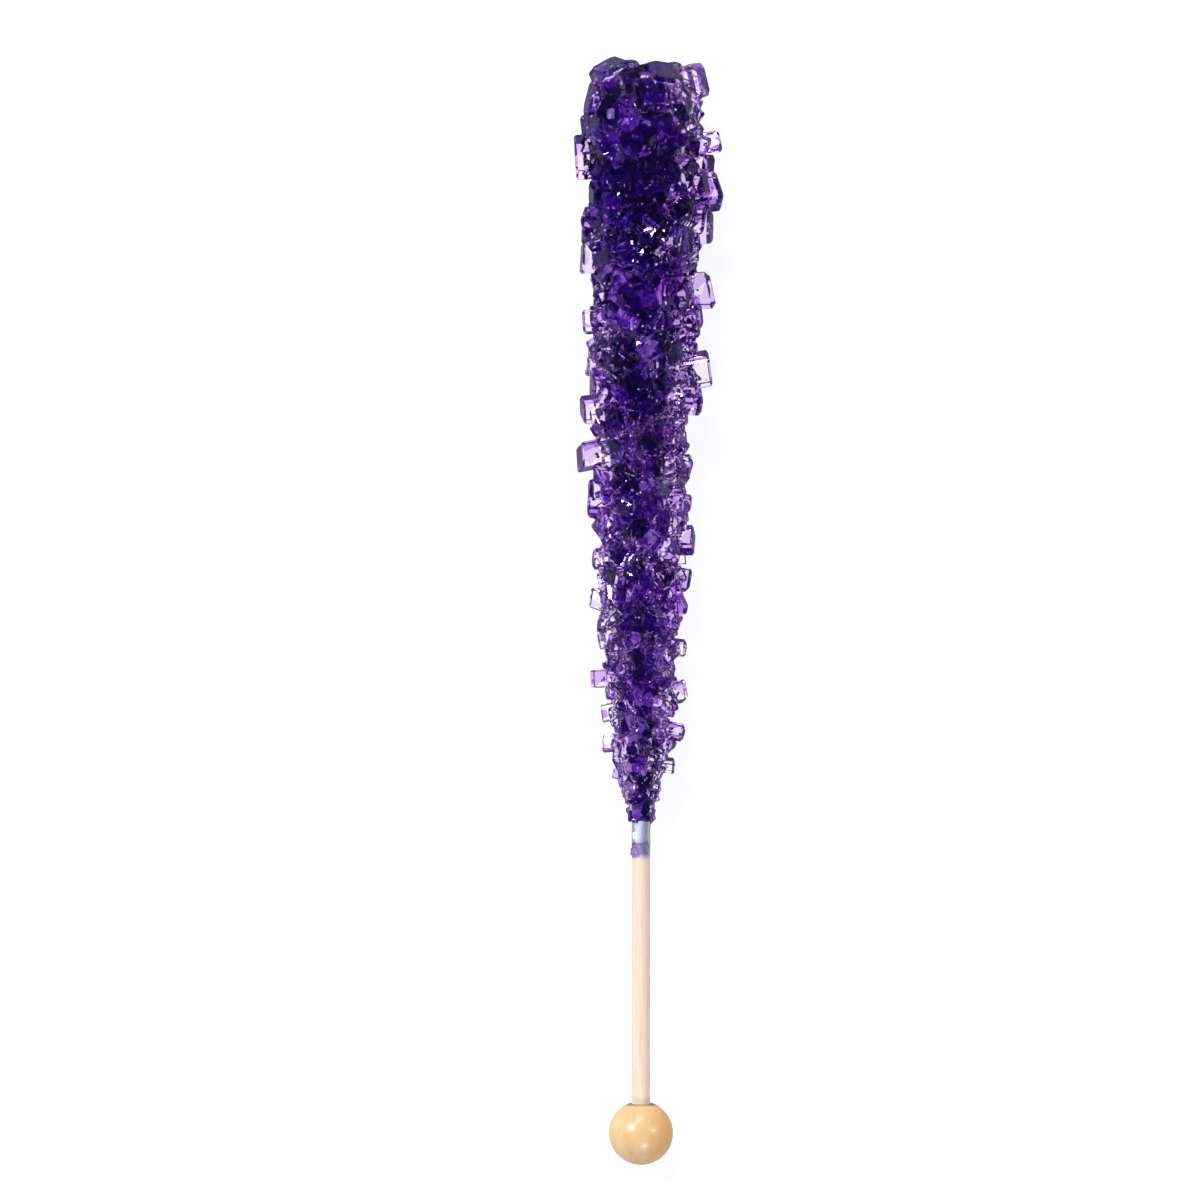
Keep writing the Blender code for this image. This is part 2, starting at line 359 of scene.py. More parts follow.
def leaning(rng, out, sizes, leanMost):
    # Each block's long axis leans off the outward direction by up to leanMost, then spins about itself
    n = len(sizes)
    u, v = axesAround(out)
    leanBy = np.radians(rng.uniform(0, leanMost, n))[:, None]
    leanAt = rng.uniform(0, 2 * math.pi, n)[:, None]
    w = out * np.cos(leanBy) + (u * np.cos(leanAt) + v * np.sin(leanAt)) * np.sin(leanBy)
    u, v = axesAround(w)
    spin = rng.uniform(0, 2 * math.pi, n)[:, None]
    first, second = u * np.cos(spin) + v * np.sin(spin), v * np.cos(spin) - u * np.sin(spin)
    return crystalShapes(rng, sizes) @ np.stack([first, second, w], axis=1)


def clearOfFloor(shapes):
    # A crystal that would dip into the floor is lifted by its own dip
    dip = laidDown(shapes)[..., 2].min(axis=1)
    shapes[..., 2] += (np.maximum(0, -dip) / math.cos(slope))[:, None]
    return shapes


def crystals(kind, outlineOf=reach, shift=1.0):
    # Corners of every crystal of a kind, each turned to lean outwards and set down on its seat
    rng = np.random.default_rng(kind["seed"])
    below, radius, angle, lean, sizes = crystalSeats(rng, kind, outlineOf)
    out = np.stack([np.cos(angle) * np.sin(lean), np.cos(lean), np.sin(angle) * np.sin(lean)], axis=1)
    shapes = leaning(rng, out, sizes, kind["lean"])
    middle = shift * headShift(below)
    seat = np.stack([middle + radius * np.cos(angle), tipY - below, radius * np.sin(angle)], axis=1)
    top = np.einsum("nij,nj->ni", shapes, out).max(axis=1)
    depth = top - rng.uniform(*kind["sunk"], len(sizes)) * sizes
    return clearOfFloor(shapes + (seat - out * depth[:, None])[:, None, :])


def standing():
    # The blocks that stand out from the outline, each with its outermost corner at its own reach
    rng = np.random.default_rng(standouts["seed"])
    below, degrees, reachOf, sizes = standoutBlocks.T
    angle = np.radians(degrees)
    out = np.stack([np.cos(angle), 0 * angle, np.sin(angle)], axis=1)
    shapes = leaning(rng, out, sizes, standouts["lean"])
    depth = reachOf - np.einsum("nij,nj->ni", shapes, out).max(axis=1)
    seat = np.stack([0 * below, tipY - below, 0 * below], axis=1)
    return clearOfFloor(shapes + (seat + out * depth[:, None])[:, None, :])


def crystalFaces():
    # Eight-sided rings joined by quads and closed by two flat ends
    faces = [list(range(ringSides))[::-1], list(range(crystalCorners - ringSides, crystalCorners))]
    for ring in range(ringCount - 1):
        base = ring * ringSides
        after = base + ringSides
        for i in range(ringSides):
            following = (i + 1) % ringSides
            faces.append([base + i, base + following, after + following, after + i])
    return faces


def copiedFaces(count, faces, corners):
    # The same faces for each copy, numbered on by the corners of the copies before it
    return [[corners * k + i for i in face] for k in range(count) for face in faces]


def turnedSurface(profile, sides):
    # A (radius, y) profile carried round Y, with a point at each end
    angles = np.arange(sides) * 2 * math.pi / sides
    radius, y = np.array(profile[1:-1]).T
    radius, y = radius[:, None], y[:, None]
    rings = [radius * np.cos(angles), y + 0 * angles, radius * np.sin(angles)]
    first, final = [[0, profile[0][1], 0]], [[0, profile[-1][1], 0]]
    points = np.concatenate([first, np.stack(rings, axis=-1).reshape(-1, 3), final])
    last, bands = len(points) - 1, len(profile) - 3
    faces = [[0, 1 + i, 1 + (i + 1) % sides] for i in range(sides)]
    for k in range(bands):
        base = 1 + k * sides
        after = base + sides
        faces += [[base + i, after + i, after + (i + 1) % sides, base + (i + 1) % sides]
                  for i in range(sides)]
    base = 1 + bands * sides
    faces += [[last, base + (i + 1) % sides, base + i] for i in range(sides)]
    return points, faces


def heart(build, outlineOf=reach, shift=1.0):
    # The outline at a share of its reach, closed at both ends and drawn in to the dowel lower down
    share, least, shortBy = build
    top, length = hearts["top"], stick["candyLength"] - shortBy
    below = top + (length - top) * (1 - np.cos(np.linspace(0, math.pi, hearts["rings"]))) / 2
    radius = np.maximum(share * outlineOf(below), least)
    radius[-1] = dowelRadius + hearts["neck"]
    profile = [(r, tipY - b) for r, b in zip(radius, below)]
    closed = [(0, profile[0][1])] + profile + [(0, profile[-1][1])]
    points, faces = turnedSurface(closed, hearts["sides"])
    points[:, 0] += shift * headShift(tipY - points[:, 1])
    return points, faces


def apartGroups(shapes):
    # Crystals sorted into groups in which no two touch, so that each group is joined on at once
    centre = shapes.mean(axis=1)
    radius = np.linalg.norm(shapes - centre[:, None], axis=2).max(axis=1)
    groups = []
    for i in range(len(shapes)):
        for group in groups:
            distance = np.linalg.norm(centre[group] - centre[i], axis=1)
            if not (distance < radius[group] + radius[i] + block["apart"]).any():
                group.append(i)
                break
        else:
            groups.append([i])
    return groups


def grown(name, heartShape, shapes, material):
    # One clean body: every crystal joined to the heart, without the walls that would be buried in it
    body = newPiece(name, *heartShape, material, "candy")
    helpers = []
    for group in apartGroups(shapes):
        groupFaces = copiedFaces(len(group), crystalFaces(), crystalCorners)
        helper = newPiece("growth", shapes[group].reshape(-1, 3), groupFaces, None, None)
        union = body.modifiers.new("growth", "BOOLEAN")
        union.operation, union.object, union.solver = "UNION", helper, "MANIFOLD"
        helpers.append(helper)
    graph = bpy.context.evaluated_depsgraph_get()
    mesh = bpy.data.meshes.new_from_object(body.evaluated_get(graph), depsgraph=graph)
    body.modifiers.clear()
    body.data = mesh
    for helper in helpers:
        bpy.data.objects.remove(helper, do_unlink=True)
    mesh.calc_loop_triangles()
    triangles = len(mesh.loop_triangles)
    say(f"{name}: {len(shapes)} crystals in {len(helpers)} groups, {triangles} triangles")
    return body


# Sugar finishes

sugar = {
    "roughness": 0.03,
    "frost": 0.22,  # added to the roughness over the tip
    "frostLength": 10.0,
    "ior": 1.55,
    "sheen": (0.66, 0.46, 1.0),  # what the facets reflect straight on
    "rippleScale": 500.0,
    "rippleStrength": 0.06,
    "rippleHeight": 0.001,  # metres
    "rimShade": (0.4, 0.08, 0.78),  # painted shade: facets seen edge on are tinted deeper, standing in for dark outlines
    "rimShadeFrom": 0.25,
    "rimShadeTo": 0.65,
    "dyeScale": 240.0,
    "dyeFrom": 0.32,  # this share of the crystals holds no dye of its own
    "dyed": (0.36, 0.07, 0.7),
    "absorbed": (0.72, 0.38, 0.93),  # the colour that is left of white light deep inside
    "density": 68.0,
}
unlitSugar = {
    "roughness": 0.14,
    "broadScale": 420.0,
    "fineScale": 1250.0,
    "fineShare": 0.33,
    "tailLift": 0.13,  # added to the painted shade, so the tail is paler than the tip
    "tipLift": -0.18,
    "shades": (
        (0.1, (0.001, 0.0, 0.02)), (0.38, (0.01, 0.0, 0.12)), (0.58, (0.06, 0.002, 0.32)),
        (0.72, (0.22, 0.06, 0.65)), (0.86, (0.62, 0.42, 0.95)),
    ),
}


def sugarGlass(name, density):
    # Clear glass that takes its colour from its depth, and from the dye caught in some of its crystals;
    # faintly rippled, frosted over the tip, and tinted deeper where it is seen edge on, as painted
    # shade
    made, tree, shader = newFinish(name, {
        "IOR": sugar["ior"], "Transmission Weight": 1.0,
        "Specular Tint": (*sugar["sheen"], 1),
    })
    facing = addNode(tree, "ShaderNodeLayerWeight", {"Blend": 0.5}).outputs["Facing"]
    place = objectPlace(tree)
    split = addNode(tree, "ShaderNodeSeparateXYZ", {"Vector": place}).outputs
    frost = addNode(tree, "ShaderNodeMapRange", {
        "Value": split["Y"],
        "From Min": (candyHigh[1] - sugar["frostLength"]) * mm, "From Max": candyHigh[1] * mm,
        "To Min": sugar["roughness"], "To Max": sugar["roughness"] + sugar["frost"],
    })
    tree.links.new(frost.outputs["Result"], shader.inputs["Roughness"])
    # painted shade: the glass colour deepens on facets seen edge on
    edgeOnShade = colourRamp(tree, facing, ((sugar["rimShadeFrom"], (1, 1, 1)), (sugar["rimShadeTo"], sugar["rimShade"])))
    cells = addNode(tree, "ShaderNodeTexVoronoi", {"Vector": place, "Scale": sugar["dyeScale"]})
    share = addNode(tree, "ShaderNodeSeparateColor", {"Color": cells.outputs["Color"]}).outputs["Red"]
    dye = colourRamp(tree, share, ((sugar["dyeFrom"], (1, 1, 1)), (1.0, sugar["dyed"])))
    tree.links.new(mixed(tree, 1.0, edgeOnShade, dye, "MULTIPLY"), shader.inputs["Base Color"])
    ripple = addNode(tree, "ShaderNodeTexNoise", {
        "Vector": place, "Scale": sugar["rippleScale"], "Detail": 1.0,
    })
    bumped(tree, shader, ripple.outputs["Fac"], sugar["rippleStrength"], sugar["rippleHeight"])
    inside = addNode(tree, "ShaderNodeVolumeAbsorption", {
        "Color": (*sugar["absorbed"], 1), "Density": density,
    })
    tree.links.new(inside.outputs["Volume"], tree.nodes["Material Output"].inputs["Volume"])
    return made


def unlitShadeFinish():
    # The unlit depth as painted shade: every block its own shade between near black and violet, darker
    # to the tip
    made, tree, shader = newFinish("painted_shade_core", {
        "Roughness": unlitSugar["roughness"], "Specular Tint": (*sugar["sheen"], 1),
    })
    place = objectPlace(tree)
    broad, fine = (
        addNode(tree, "ShaderNodeTexVoronoi", {"Vector": place, "Scale": scale}).outputs["Color"]
        for scale in (unlitSugar["broadScale"], unlitSugar["fineScale"])
    )
    cells = mixed(tree, unlitSugar["fineShare"], broad, fine)
    shade = addNode(tree, "ShaderNodeSeparateColor", {"Color": cells}).outputs["Red"]
    along = addNode(tree, "ShaderNodeSeparateXYZ", {"Vector": place}).outputs["Y"]
    lift = addNode(tree, "ShaderNodeMapRange", {
        "Value": along, "From Min": candyLow[1] * mm, "From Max": candyHigh[1] * mm,
        "To Min": unlitSugar["tailLift"], "To Max": unlitSugar["tipLift"],
    })
    lifted = addNode(tree, "ShaderNodeMath", {0: shade, 1: lift.outputs["Result"]}, operation="ADD")
    colour = colourRamp(tree, lifted.outputs[0], unlitSugar["shades"])
    tree.links.new(colour, shader.inputs["Base Color"])
    return made


def fringe():
    # Small crystals dealt round the dowel by an even turn where the candy ends, opening out upwards
    rng = np.random.default_rng(tailFringe["seed"])
    n, stray = tailFringe["count"], tailFringe["stray"]
    angle = 2 * math.pi * (np.arange(n) + rng.uniform(-stray, stray, n)) * tailFringe["turn"]
    out = np.stack([np.cos(angle), 0 * angle, np.sin(angle)], axis=1)
    shapes = leaning(rng, out, rng.uniform(*tailFringe["size"], n), tailFringe["lean"])
    up = rng.uniform(0, 1, n)
    seat = out * (dowelRadius + tailFringe["flare"] * up[:, None] ** tailFringe["flarePower"])
    seat[:, 1] = tailY + tailFringe["low"] + up * tailFringe["length"]
    return clearOfFloor(shapes + seat[:, None])


def growDeep():
    # Opaque dark blocks round a narrower heart, painted shade for the unlit depth
    shapes = crystals(deep, deepReach, unlit["shift"])
    heartPoints, heartFaces = heart(hearts["deep"], deepReach, unlit["shift"])
    points = np.concatenate([heartPoints, shapes.reshape(-1, 3)])
    blockFaces = copiedFaces(len(shapes), crystalFaces(), crystalCorners)
    faces = heartFaces + [[i + len(heartPoints) for i in face] for face in blockFaces]
    newPiece("painted_shade_blocks", points, faces, unlitShadeFinish(), "candy")
    say(f"painted_shade_blocks: {len(shapes)} blocks")


standingShapes = standing()
outerKinds = [crystals(kind) for kind in (large, medium, small)]
outerShapes = np.concatenate([standingShapes, fringe()] + outerKinds)
sugarFinish = sugarGlass("sugar_glass", sugar["density"])
candy = grown("candy_crystals", heart(hearts["clear"]), outerShapes, sugarFinish)
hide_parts("candy")
growDeep()

# Loose sugar: pale grains on the facets, their white partly a painted highlight for glints, and dark
# specks inside the blocks that stand out

grains = {
    "count": 1400,
    "size": (0.12, 0.34),
    "drawn": 3,  # spots drawn for each grain that is kept
    "patches": 3,  # waves that are added up to say where grains gather
    "patchLength": 9.0,
    "violet": (0.55, 0.4, 0.9),
    "glintWhite": (0.88, 0.84, 0.98),
    "seed": 31,
}
specks = {
    "perBlock": 3,
    "size": (0.22, 0.4),
    "spread": 0.22,  # of the block's size
    "black": (0.01, 0.0, 0.03),
    "violet": (0.06, 0.01, 0.14),
    "seed": 32,
}
tumbledSides = (0.6, 1.2)  # of a grain's or a speck's size
boxCorners = np.array([[x, y, z] for x in (-1, 1) for y in (-1, 1) for z in (-1, 1)], float) / 2
boxFaces = [[0, 1, 3, 2], [4, 6, 7, 5], [0, 4, 5, 1], [2, 3, 7, 6], [0, 2, 6, 4], [1, 5, 7, 3]]


def tumbledBoxes(rng, centres, sizes):
    # Small blocks with unequal sides, each turned at random about its centre
    n = len(centres)
    w = unit(rng.normal(size=(n, 3)))
    u, v = axesAround(w)
    sides = sizes[:, None] * rng.uniform(*tumbledSides, (n, 3))
    corners = boxCorners[None] * sides[:, None]
    return corners @ np.stack([u, v, w], axis=1) + centres[:, None]


def surfacePoints(rng, body, count):
    # Points spread over a mesh by area: a triangle is drawn by its area, then a point inside it
    mesh = body.data
    corners = np.empty(len(mesh.loop_triangles) * 3, dtype=np.int32)
    mesh.loop_triangles.foreach_get("vertices", corners)
    places = np.empty(len(mesh.vertices) * 3, dtype=np.float32)
    mesh.vertices.foreach_get("co", places)
    triangles = places.reshape(-1, 3)[corners.reshape(-1, 3)].astype(float) / mm
    first, second = triangles[:, 1] - triangles[:, 0], triangles[:, 2] - triangles[:, 0]
    area = np.linalg.norm(np.cross(first, second), axis=1)
    chosen = rng.choice(len(triangles), count, p=area / area.sum())
    a, b = rng.uniform(size=(2, count, 1))
    over = a + b > 1
    a, b = np.where(over, 1 - a, a), np.where(over, 1 - b, b)
    return triangles[chosen, 0] + first[chosen] * a + second[chosen] * b


def grainSugar():
    # Half clear and slightly rough, between violet and white; the white is partly a painted highlight
    # standing in for glints
    made, tree, shader = newFinish("grain_sugar", {
        "Roughness": 0.18, "Transmission Weight": 0.45, "IOR": 1.5,
    })
    hue = addNode(tree, "ShaderNodeTexNoise", {"Vector": objectPlace(tree), "Scale": 300.0})
    colour = colourRamp(tree, hue.outputs["Fac"], ((0.35, grains["violet"]), (0.65, grains["glintWhite"])))
    tree.links.new(colour, shader.inputs["Base Color"])
    return made


def speckSugar():
    # Dull, between black and violet
    made, tree, shader = newFinish("speck_sugar", {"Roughness": 0.4})
    hue = addNode(tree, "ShaderNodeTexNoise", {"Vector": objectPlace(tree), "Scale": 400.0})
    colour = colourRamp(tree, hue.outputs["Fac"], ((0.3, specks["black"]), (0.7, specks["violet"])))
    tree.links.new(colour, shader.inputs["Base Color"])
    return made


def scatterGrains():
    # Of the spots drawn, grains take those where a few waves in random directions add up highest
    rng = np.random.default_rng(grains["seed"])
    spots = surfacePoints(rng, candy, grains["drawn"] * grains["count"])
    ways = unit(rng.normal(size=(grains["patches"], 3))) * 2 * math.pi / grains["patchLength"]
    starts = rng.uniform(0, 2 * math.pi, grains["patches"])
    wave = np.cos(spots @ ways.T + starts).sum(axis=1)
    spots = spots[np.argsort(-wave)[:grains["count"]]]
    spots[:, 2] = np.maximum(spots[:, 2], grains["size"][1])
    sizes = rng.uniform(*grains["size"], len(spots))
    points = tumbledBoxes(rng, spots, sizes).reshape(-1, 3)
    faces = copiedFaces(len(spots), boxFaces, len(boxCorners))
    placedPiece("sugar_grains", points, faces, grainSugar())
    say(f"sugar_grains: {len(spots)}")


def scatterSpecks():
    # A few near the middle of every block that stands out
    rng = np.random.default_rng(specks["seed"])
    middles = np.repeat(laidDown(standingShapes).mean(axis=1), specks["perBlock"], axis=0)
    blockSizes = np.repeat(standoutBlocks[:, 3], specks["perBlock"])
    centres = middles + rng.normal(size=middles.shape) * (blockSizes * specks["spread"] / 2)[:, None]
    sizes = rng.uniform(*specks["size"], len(centres))
    points = tumbledBoxes(rng, centres, sizes).reshape(-1, 3)
    faces = copiedFaces(len(centres), boxFaces, len(boxCorners))
    placedPiece("dark_specks", points, faces, speckSugar())
    say(f"dark_specks: {len(centres)}")


scatterGrains()
scatterSpecks()

# Dowel

dowel = {
    "sides": 72,
    "lengthSteps": 90,
    "endRounding": 0.25,
    "fibres": ((9, 0.012), (17, 0.008), (31, 0.006)),  # ridges round the dowel and their height
    "fibreDrift": 0.9,  # how far the ridges wander round it, in radians
    "fibreDriftLength": 23.0,
    "dark": (0.86, 0.64, 0.41),
    "pale": (0.92, 0.78, 0.6),
    "palest": (0.94, 0.83, 0.67),
    "rose": (0.93, 0.7, 0.58),
    # the sugar glaze: its pale left is a painted highlight and its dark right is painted shade
    "glazeLit": (0.84, 0.88, 0.96),
    "glazeShaded": (0.32, 0.38, 0.55),
    "glazeShadeTurn": (-0.2, 0.5),  # across the middle, from the painted highlight on the left to the painted shade on the right
    "glazeLength": 5.8,
    "glazeFade": 0.9,
    "glazeCreep": 0.8,  # along the fibres
    "fibreBump": (0.35, 0.0001),  # strength, and height in metres
}


def birchFinish():
    # Fine fibres along the length over broad pale and rosy bands, glazed by the sugar near the candy
    made, tree, shader = newFinish("birch", {"Roughness": 0.5})
    fine = addNode(tree, "ShaderNodeTexNoise", {
        "Vector": objectPlace(tree, (1, 0.03, 1)), "Scale": 3200.0, "Detail": 4.0, "Roughness": 0.65,
    }).outputs["Fac"]
    broad = addNode(tree, "ShaderNodeTexNoise", {
        "Vector": objectPlace(tree, (1, 0.02, 1)), "Scale": 900.0, "Detail": 1.0,
    }).outputs["Fac"]
    wood = colourRamp(tree, fine, (
        (0.28, dowel["dark"]), (0.52, dowel["pale"]), (0.8, dowel["palest"]),
    ))
    rosy = addNode(tree, "ShaderNodeMapRange", {
        "Value": broad, "From Min": 0.48, "From Max": 0.68, "To Max": 0.5,
    })
    wood = mixed(tree, rosy.outputs["Result"], wood, (*dowel["rose"], 1))
    place = addNode(tree, "ShaderNodeTexCoord", {}).outputs["Object"]
    apart = addNode(tree, "ShaderNodeSeparateXYZ", {"Vector": place})
    # painted highlight and shade: the glaze turns from pale on the left to dark on the right
    across = addNode(tree, "ShaderNodeMapRange", {
        "Value": apart.outputs["X"], "From Min": (ballCentre[0] + dowel["glazeShadeTurn"][0]) * mm,
        "From Max": (ballCentre[0] + dowel["glazeShadeTurn"][1]) * mm,
    })
    glazed = mixed(tree, across.outputs["Result"], (*dowel["glazeLit"], 1), (*dowel["glazeShaded"], 1))
    candyEnd = ballCentre[1] + tailY * math.cos(slope)
    creep = addNode(tree, "ShaderNodeMath", {
        0: fine, 1: dowel["glazeCreep"] * mm,
    }, operation="MULTIPLY")
    along = addNode(tree, "ShaderNodeMath", {
        0: apart.outputs["Y"], 1: creep.outputs[0],
    }, operation="ADD")
    glaze = addNode(tree, "ShaderNodeMapRange", {
        "Value": along.outputs[0], "From Min": (candyEnd - dowel["glazeLength"]) * mm,
        "From Max": (candyEnd - dowel["glazeLength"] + dowel["glazeFade"]) * mm,
    })
    tree.links.new(mixed(tree, glaze.outputs["Result"], wood, glazed), shader.inputs["Base Color"])
    bumped(tree, shader, fine, *dowel["fibreBump"])
    return made


def turnDowel():
    # Radius over (angle, length): the dowel's own, less a few shallow ridges that wander along it
    low, high = (dowelLow[1] - ballCentre[1]) / math.cos(slope), tipY - stick["dowelTopBelowTip"]
    along = np.linspace(low, high, dowel["lengthSteps"])
    angles = np.arange(dowel["sides"]) * 2 * math.pi / dowel["sides"]
    drift = dowel["fibreDrift"] * np.sin(along / dowel["fibreDriftLength"])[:, None]
    relief = sum(height * (1 + np.cos(count * (angles[None] + drift) + count)) / 2
                 for count, height in dowel["fibres"])
    rounding = dowel["endRounding"]
    left = np.clip(1 - np.minimum(along - low, high - along) / rounding, 0, 1)
    radius = dowelRadius - relief - (rounding * (1 - np.sqrt(1 - left**2)))[:, None]
    profile = [(0, high)] + [(1, y) for y in along[::-1]] + [(0, low)]
    points, faces = turnedSurface(profile, dowel["sides"])
    points[1:-1, [0, 2]] *= radius[::-1].reshape(-1, 1)
    piece = newPiece("birch_dowel", points, faces, birchFinish(), "dowel", smooth=True)
    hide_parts("dowel")


turnDowel()
say("dowel")

# Ball

ball = {
    "sides": 72,
    "rings": 44,
    "boreRadius": 1.62,
    "boreDepth": 6.6,
    "boreCollar": 1.0,  # the straight stretch of the bore just under its lip
    "lip": 0.3,
    "lipSteps": 6,
    "dark": (0.88, 0.56, 0.24),
    "pale": (0.93, 0.64, 0.31),
    "palest": (0.95, 0.71, 0.38),
    "pore": (0.6, 0.33, 0.14),
    "shadedAmber": (0.9, 0.47, 0.12),  # painted shade: deeper orange towards the +X side
    "shadedAmberShare": 0.85,
    # painted shade in the crevice where the dowel goes into the ball
    "jointShade": (0.16, 0.07, 0.02),
    "jointShadeFade": (0.6, 0.12),  # below the bore's mouth
    "poreBump": (0.1, 0.0001),  # strength, and height in metres
}


def lacquerFinish():
    # Curved yearly bands and fine pores under a clear coat, with painted shade at the joint with the
    # dowel and towards the +X side
    made, tree, shader = newFinish("lacquered_wood", {
        "Roughness": 0.38, "Coat Weight": 0.4, "Coat Roughness": 0.22, "Coat IOR": 1.5,
    })
    bands = addNode(tree, "ShaderNodeTexNoise", {
        "Vector": objectPlace(tree, (1, 0.22, 1)), "Scale": 420.0, "Detail": 3.0, "Distortion": 0.6,
    }).outputs["Fac"]
    pores = addNode(tree, "ShaderNodeTexNoise", {
        "Vector": objectPlace(tree, (1, 0.12, 1)), "Scale": 3600.0, "Detail": 2.0,
    }).outputs["Fac"]
    wood = colourRamp(tree, bands, ((0.3, ball["dark"]), (0.55, ball["pale"]), (0.8, ball["palest"])))
    pore = addNode(tree, "ShaderNodeMapRange", {
        "Value": pores, "From Min": 0.36, "From Max": 0.28, "To Max": 0.35,
    })
    wood = mixed(tree, pore.outputs["Result"], wood, (*ball["pore"], 1))
    place = addNode(tree, "ShaderNodeTexCoord", {}).outputs["Object"]
    split = addNode(tree, "ShaderNodeSeparateXYZ", {"Vector": place}).outputs
    # painted shade: the colour turns deeper orange towards the +X side
    shadedSide = addNode(tree, "ShaderNodeMapRange", {
        "Value": split["X"], "From Min": ballCentre[0] * mm,
        "From Max": (ballCentre[0] + ballRadius) * mm, "To Max": ball["shadedAmberShare"],
    }, interpolation_type="SMOOTHSTEP")
    wood = mixed(tree, shadedSide.outputs["Result"], wood, (*ball["shadedAmber"], 1))
    # painted shade: darkened towards the bore's mouth, where the dowel goes in
    mouth = ballCentre[1] + math.sqrt(ballRadius**2 - ball["boreRadius"] ** 2)
    jointShade = addNode(tree, "ShaderNodeMapRange", {
        "Value": split["Y"], "From Min": (mouth - ball["jointShadeFade"][0]) * mm,
        "From Max": (mouth - ball["jointShadeFade"][1]) * mm,
    })
    wood = mixed(tree, jointShade.outputs["Result"], wood, (*ball["jointShade"], 1))
    tree.links.new(wood, shader.inputs["Base Color"])
    bumped(tree, shader, pores, *ball["poreBump"])
    return made


def turnBall():
    # Up the bore, round its lip, then a circle's arc to the far pole
    bore, lip, radius = ball["boreRadius"], ball["lip"], ballRadius
    start = math.asin((bore + lip) / (radius - lip))
    lipY = (radius - lip) * math.cos(start)
    lipAngles = np.linspace(math.pi, math.pi / 2 - start, ball["lipSteps"])
    floorY = radius - ball["boreDepth"]
    profile = [(0, floorY), (bore, floorY), (bore, lipY - ball["boreCollar"])]
    profile += [(bore + lip + lip * math.cos(a), lipY + lip * math.sin(a)) for a in lipAngles]
    around = np.linspace(start, math.pi, ball["rings"])[1:-1]
    profile += [(radius * math.sin(a), radius * math.cos(a)) for a in around] + [(0, -radius)]
    points, faces = turnedSurface(profile, ball["sides"])
    piece = newPiece("lacquered_ball", points, faces, lacquerFinish(), "ball", smooth=True)
    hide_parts("ball")


turnBall()
say("ball")

# Sugar film and the little clump below the candy

film = {
    "from": 0.4,  # above the candy's lower end
    "to": -5.5,
    "thickness": 0.06,
    "uneven": 0.02,
    "buried": 0.05,  # how far it dips under the dowel's surface where it has thinned out
    "thinning": 1.2,  # the length over which it thins out
    "runBump": (0.3, 0.0003),  # strength, and height in metres
    "sides": 48,
    "steps": 24,
}
clump = {
    "count": 16,
    "size": (0.7, 1.1),
    "angles": (62.0, 138.0),  # degrees round from +X
    "lean": 60.0,
    "sunk": (-0.35, 0.05),  # from the dowel's surface
    "middle": -4.3,  # from the candy's lower end
    "length": 1.9,
    "density": 450.0,
    "seed": 41,
}


def filmSugar():
    # Smooth clear sugar that has run a little along the dowel
    made, tree, shader = newFinish("film_sugar", {
        "Base Color": (0.96, 0.98, 1.0, 1), "Roughness": 0.06, "IOR": 1.45, "Transmission Weight": 1.0,
    })
    runs = addNode(tree, "ShaderNodeTexNoise", {
        "Vector": objectPlace(tree, (1, 0.4, 1)), "Scale": 900.0,
    })
    bumped(tree, shader, runs.outputs["Fac"], *film["runBump"])
    return made


def coatFilm():
    # A closed coat round the dowel: its radius waves with angle and length, and sinks into the wood
    # at its lower end
    sides = film["sides"]
    along = np.linspace(tailY + film["from"], tailY + film["to"], film["steps"])
    angles = np.arange(sides) * 2 * math.pi / sides
    wave = np.sin(3 * angles[None] + along[:, None]) + np.sin(2 * angles[None] - 1.7 * along[:, None])
    thin = np.sqrt(np.clip((along - along[-1]) / film["thinning"], 0, 1))
    radius = dowelRadius - film["buried"] + (film["thickness"] + film["uneven"] * wave) * thin[:, None]
    points, faces = turnedSurface([(0, along[0])] + [(1, y) for y in along] + [(0, along[-1])], sides)
    points[1:-1, [0, 2]] *= radius.reshape(-1, 1)
    newPiece("sugar_film", points, faces, filmSugar(), "candy", smooth=True)


def growClump():
    # Tiny crystals on the shown side of the dowel, each sunk a little into the wood
    rng = np.random.default_rng(clump["seed"])
    n = clump["count"]
    angle = np.radians(rng.uniform(*clump["angles"], n))
    out = np.stack([np.cos(angle), 0 * angle, np.sin(angle)], axis=1)
    sizes = rng.uniform(*clump["size"], n)
    shapes = leaning(rng, out, sizes, clump["lean"])
    y = tailY + clump["middle"] + rng.uniform(-0.5, 0.5, n) * clump["length"]
    seat = out * (dowelRadius + rng.uniform(*clump["sunk"], n)[:, None])
    seat[:, 1] = y
    shapes = shapes + seat[:, None]
    finish = sugarGlass("clump_sugar", clump["density"])
    grown("sugar_clump", (shapes[0], crystalFaces()), shapes[1:], finish)


coatFilm()
growClump()
say("film and clump")

# Floor, light and camera

studio = {
    "floorSide": 6.0,  # metres
    "floorShade": 0.3,
    "floorGlow": 0.95,  # the floor is lit from below as well as from above
    "floorMirrored": 0.07,
    "floorSeen": 0.83,  # seen directly, the lamps light up the rest, and a faint shadow shows
    "surround": (0.065, 0.05, 0.12),
    "backdrop": 0.95,
    "lamp": 44.0,
    "lampDistance": 0.9,
    "bounces": 18,
    "mirrorBounces": 8,
}
softboxes = {  # direction from the stick, width and length in metres, share of the lamp
    "softbox_left": ((-0.75, 0.35, 0.9), 0.1, 0.3, 1.4),
    "softbox_right": ((0.8, 0.1, 0.8), 0.06, 0.25, 0.8),
    "softbox_head": ((-0.1, 0.9, 0.8), 0.25, 0.08, 0.9),
    "softbox_foot": ((0.2, -0.9, 0.8), 0.25, 0.08, 0.7),
}
edge = studio["floorSide"] / 2
floorCorners = [(-edge, -edge, 0), (edge, -edge, 0), (edge, edge, 0), (-edge, edge, 0)]
floorMesh = bpy.data.meshes.new("floor")
floorMesh.from_pydata(floorCorners, [], [(0, 1, 2, 3)])
floor = linked("floor", floorMesh)


